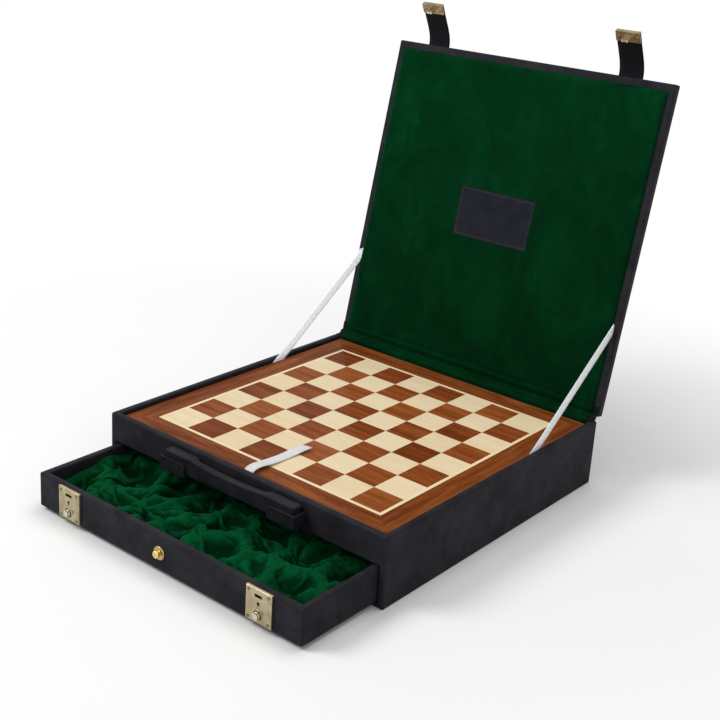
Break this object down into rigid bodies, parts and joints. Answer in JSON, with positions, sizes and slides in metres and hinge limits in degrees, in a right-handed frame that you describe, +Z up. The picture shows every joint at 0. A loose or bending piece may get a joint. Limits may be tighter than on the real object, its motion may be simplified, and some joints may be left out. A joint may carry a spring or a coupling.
{
  "type": "chess box",
  "caption": "Black leatherette chess box with an inset board, hinged velvet-lined lid on ribbon stays, a locking front drawer and a strap handle.",
  "frame": {"origin": "middle of the case's underside", "axes": "+X to the right seen from the front, -Y towards the drawer front, +Z up"},
  "size_m": [0.386, 0.5891, 0.5011],
  "materials": {
    "leatherette": "grained black leatherette wrapped over board, low sheen",
    "panel_wood": "plain fibreboard",
    "light_wood": "maple veneer under gloss lacquer",
    "dark_wood": "walnut veneer under gloss lacquer",
    "line_wood": "pale holly line under gloss lacquer",
    "border_wood": "walnut veneer under gloss lacquer",
    "velvet": "deep green pile velvet",
    "ribbon": "white satin ribbon",
    "label": "bare black leatherette patch with a stitched edge",
    "strap_leather": "stiff black leather",
    "brass": "polished brass, a little worn",
    "steel": "plain bright steel",
    "handle_plastic": "moulded black plastic, low sheen",
    "runner_tape": "slippery tape strip"
  },
  "bodies": {
    "case": {"case_bottom": "leatherette", "case_wall_left": "leatherette", "case_wall_right": "leatherette", "case_wall_rear": "leatherette", "case_front_panel": "leatherette", "drawer_deck": "panel_wood", "board_ledges": "panel_wood", "drawer_runners": "runner_tape", "hinge_leaf_case": "steel", "hinge_pin": "steel", "hinge_screws_case": "steel", "hinge_velvet": "velvet", "stay_ribbon_left": "ribbon", "stay_ribbon_right": "ribbon", "handle_cup_left": "handle_plastic", "handle_cup_right": "handle_plastic", "handle_screws": "steel", "handle_arm_left": "handle_plastic", "handle_arm_right": "handle_plastic"},
    "board": {"board_core": "panel_wood", "squares_light": "light_wood", "squares_dark": "dark_wood", "board_stringing": "line_wood", "board_border": "border_wood", "pull_ribbon": "ribbon"},
    "handle": {"handle_grip": "handle_plastic"},
    "lid": {"lid_panel": "leatherette", "lid_lining": "velvet", "label_patch": "label", "hinge_leaf_lid": "steel", "hinge_screws_lid": "steel", "strap_root_left": "strap_leather", "strap_root_right": "strap_leather", "strap_bend_left": "strap_leather", "strap_bend_right": "strap_leather"},
    "drawer": {"drawer_front": "leatherette", "drawer_back": "leatherette", "drawer_side_left": "leatherette", "drawer_side_right": "leatherette", "drawer_bottom": "panel_wood", "drawer_lining": "velvet", "lock_plate_left": "brass", "lock_plate_right": "brass", "lock_screws": "brass", "knob_rosette": "brass", "knob": "brass"},
    "strap_left": {"strap_left": "strap_leather", "hasp_left": "brass", "hasp_rivets_left": "brass", "staple_left": "brass"},
    "button_left": {"button_left": "brass"},
    "bolt_left": {"bolt_left": "steel"},
    "strap_right": {"strap_right": "strap_leather", "hasp_right": "brass", "hasp_rivets_right": "brass", "staple_right": "brass"},
    "button_right": {"button_right": "brass"},
    "bolt_right": {"bolt_right": "steel"}
  },
  "joints": [
    {"name": "lid_hinge", "type": "hinge", "parent": "case", "child": "lid", "pos_m": [0, 0.195, 0.076], "axis": [-1, 0, 0], "range_deg": [-102.4, 0], "deforming": ["stay_ribbon_left", "stay_ribbon_right", "hinge_velvet", "pull_ribbon"]},
    {"name": "drawer_slide", "type": "slide", "parent": "case", "child": "drawer", "axis": [0, -1, 0], "range_m": [-0.1027, 0.16]},
    {"name": "board_lift", "type": "slide", "parent": "case", "child": "board", "axis": [0, 0, 1], "range_m": [0, 0.07]},
    {"name": "handle_pull", "type": "slide", "parent": "case", "child": "handle", "axis": [0, -1, 0], "range_m": [0, 0.01], "stiffness_N_per_m": 600, "deforming": ["handle_arm_left", "handle_arm_right"]},
    {"name": "strap_left_fold", "type": "hinge", "parent": "lid", "child": "strap_left", "pos_m": [-0.133, 0.2781, 0.45699], "axis": [-1, 0, 0], "range_deg": [-52, 38], "stiffness_Nm_per_rad": 0.03, "deforming": ["strap_bend_left"]},
    {"name": "button_left_push", "type": "slide", "parent": "drawer", "child": "button_left", "axis": [0, 1, 0], "range_m": [0, 0.003], "stiffness_N_per_m": 300},
    {"name": "bolt_left_draw", "type": "slide", "parent": "drawer", "child": "bolt_left", "axis": [0, 0, -1], "range_m": [0, 0.0045]},
    {"name": "strap_right_fold", "type": "hinge", "parent": "lid", "child": "strap_right", "pos_m": [0.133, 0.2781, 0.45699], "axis": [-1, 0, 0], "range_deg": [-52, 38], "stiffness_Nm_per_rad": 0.03, "deforming": ["strap_bend_right"]},
    {"name": "button_right_push", "type": "slide", "parent": "drawer", "child": "button_right", "axis": [0, 1, 0], "range_m": [0, 0.003], "stiffness_N_per_m": 300},
    {"name": "bolt_right_draw", "type": "slide", "parent": "drawer", "child": "bolt_right", "axis": [0, 0, -1], "range_m": [0, 0.0045]}
  ],
  "couplings": [
    {"joint": "bolt_left_draw", "follows": "button_left_push", "ratio": 1.5},
    {"joint": "bolt_right_draw", "follows": "button_right_push", "ratio": 1.5}
  ]
}
